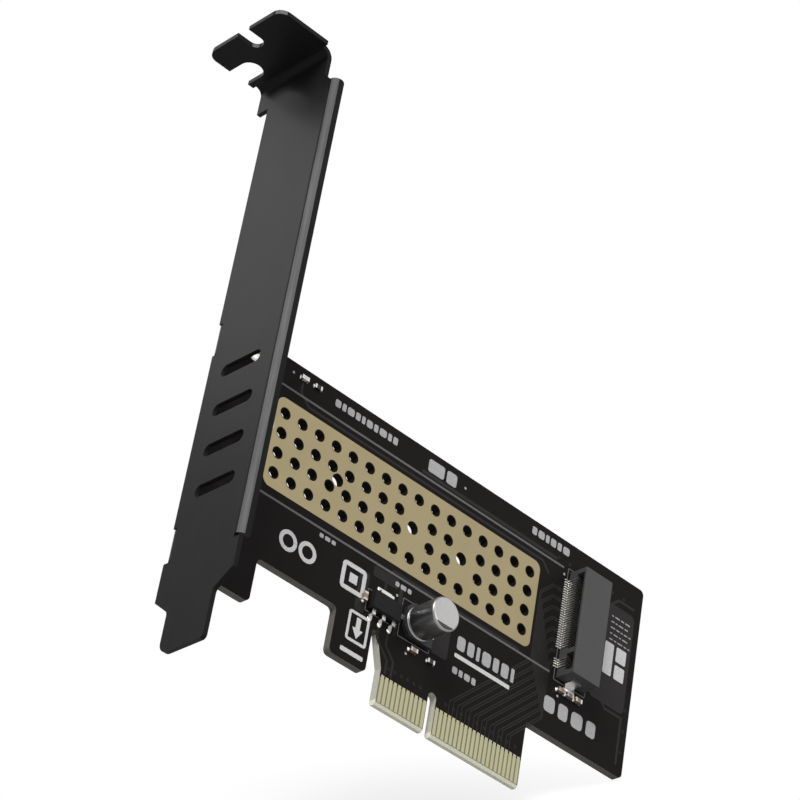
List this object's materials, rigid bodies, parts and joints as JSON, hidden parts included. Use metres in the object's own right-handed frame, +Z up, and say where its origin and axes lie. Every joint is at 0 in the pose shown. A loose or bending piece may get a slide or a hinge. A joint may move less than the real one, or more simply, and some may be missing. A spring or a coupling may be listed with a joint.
{
  "type": "nvme adapter card",
  "caption": "Black expansion card with a perforated cooling pad, drive socket, edge connector and full-height slot bracket.",
  "frame": {"origin": "centre of the edge connector's key notch, on the connector's lower edge, midway through the board's thickness", "axes": "+X along the board away from the bracket, +Y out of the solder side (components stand on the -Y side), +Z up to the board's top edge"},
  "size_m": [0.1165, 0.0222, 0.12],
  "materials": {
    "solder_mask": "satin black solder mask",
    "gold_plate": "thin gold over nickel, satin",
    "black_bracket": "black electroplate, satin",
    "screw_nickel": "bright nickel",
    "turned_brass": "turned, bright",
    "socket_black": "moulded, matt",
    "contact_gold": "selective gold plate",
    "tin": "tin plate and solder",
    "can_aluminium": "drawn, satin",
    "base_black": "moulded, matt",
    "package_black": "moulded, matt",
    "ceramic_tan": "fired ceramic",
    "resistor_black": "glazed",
    "lamp_lens": "clear resin"
  },
  "bodies": {
    "root": {"circuit_board": "solder_mask", "cooling_pad": "gold_plate", "edge_contacts_front": "gold_plate", "edge_contacts_back": "gold_plate", "bracket": "black_bracket", "bracket_screws": "screw_nickel", "standoff": "turned_brass", "standoff_nut": "turned_brass", "drive_screw": "screw_nickel", "socket_housing": "socket_black", "socket_upper_contacts": "contact_gold", "socket_lower_contacts": "contact_gold", "socket_hold_downs": "tin", "capacitor_can": "can_aluminium", "capacitor_base": "base_black", "capacitor_leads": "tin", "regulator_package": "package_black", "regulator_leads": "tin", "ceramic_capacitors": "ceramic_tan", "chip_resistors": "resistor_black", "status_lamp": "lamp_lens", "chip_ends": "tin"}
  },
  "joints": []
}
